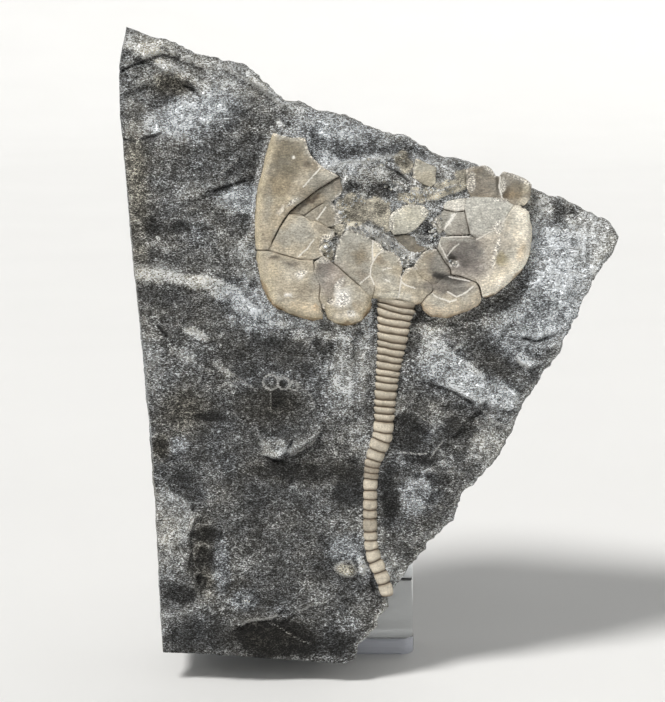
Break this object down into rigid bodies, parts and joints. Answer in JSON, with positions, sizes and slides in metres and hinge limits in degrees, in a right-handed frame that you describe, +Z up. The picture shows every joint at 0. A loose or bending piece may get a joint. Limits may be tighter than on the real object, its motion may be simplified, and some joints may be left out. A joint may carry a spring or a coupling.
{
  "type": "fossil cystoid on matrix with easel",
  "caption": "Crushed fossil cystoid, plated body and ringed stem, on a broken limestone block that stands on a bent clear acrylic easel.",
  "frame": {"origin": "middle of the bounding box's base, on the surface that the easel stands on", "axes": "+Z up, +X to the right as the fossil is looked at, -Y out of the fossil's face; the face leans back 10 degrees"},
  "size_m": [0.0705, 0.0548, 0.0904],
  "materials": {
    "limestone": "grey limestone, broken surface, dull, with pale crystalline specks",
    "calcite_cream": "cream fossil calcite, smooth, satin",
    "calcite_dun": "dun fossil calcite, fine grained, satin, cream at the rims",
    "calcite_grey_brown": "grey-brown fossil calcite with white veins, satin",
    "calcite_brown": "dark brown fossil calcite, slightly glossy",
    "clear_acrylic": "clear, polished faces, frosted cut edges"
  },
  "bodies": {
    "root": {"matrix_slab": "limestone", "easel": "clear_acrylic", "plate_left_horn": "calcite_dun", "plate_left_strip": "calcite_brown", "plate_left_veined": "calcite_grey_brown", "plate_left_middle": "calcite_dun", "plate_left_lower": "calcite_dun", "plate_lobe": "calcite_cream", "plate_centre_left": "calcite_grey_brown", "plate_wedge": "calcite_cream", "plate_basal_left": "calcite_cream", "plate_basal_right": "calcite_dun", "plate_centre_right": "calcite_dun", "plate_right_rim_lower": "calcite_dun", "plate_right_great": "calcite_cream", "plate_right_upper": "calcite_dun", "plate_shard_tall": "calcite_grey_brown", "plate_shard_small": "calcite_dun", "plate_bar": "calcite_cream", "plate_oval": "calcite_cream", "plate_brown_low": "calcite_brown", "plate_shard_loose": "calcite_dun", "plate_brown_broken": "calcite_brown", "stem_ring_01": "calcite_cream", "stem_ring_02": "calcite_cream", "stem_ring_03": "calcite_cream", "stem_ring_04": "calcite_cream", "stem_ring_05": "calcite_cream", "stem_ring_06": "calcite_cream", "stem_ring_07": "calcite_cream", "stem_ring_08": "calcite_cream", "stem_ring_09": "calcite_cream", "stem_ring_10": "calcite_cream", "stem_ring_11": "calcite_cream", "stem_ring_12": "calcite_cream", "stem_ring_13": "calcite_cream", "stem_ring_14": "calcite_cream", "stem_ring_15": "calcite_cream", "stem_ring_16": "calcite_cream", "stem_ring_17": "calcite_cream", "columnal_01": "calcite_cream", "columnal_02": "calcite_cream", "columnal_03": "calcite_cream", "columnal_04": "calcite_cream", "columnal_05": "calcite_cream", "columnal_06": "calcite_cream", "columnal_07": "calcite_cream", "columnal_08": "calcite_cream", "columnal_09": "calcite_cream", "columnal_10": "calcite_cream", "columnal_11": "calcite_cream", "columnal_12": "calcite_cream", "columnal_13": "calcite_cream", "columnal_14": "calcite_cream", "columnal_15": "calcite_cream", "columnal_16": "calcite_cream", "columnal_17": "calcite_cream", "columnal_18": "calcite_cream"}
  },
  "joints": []
}
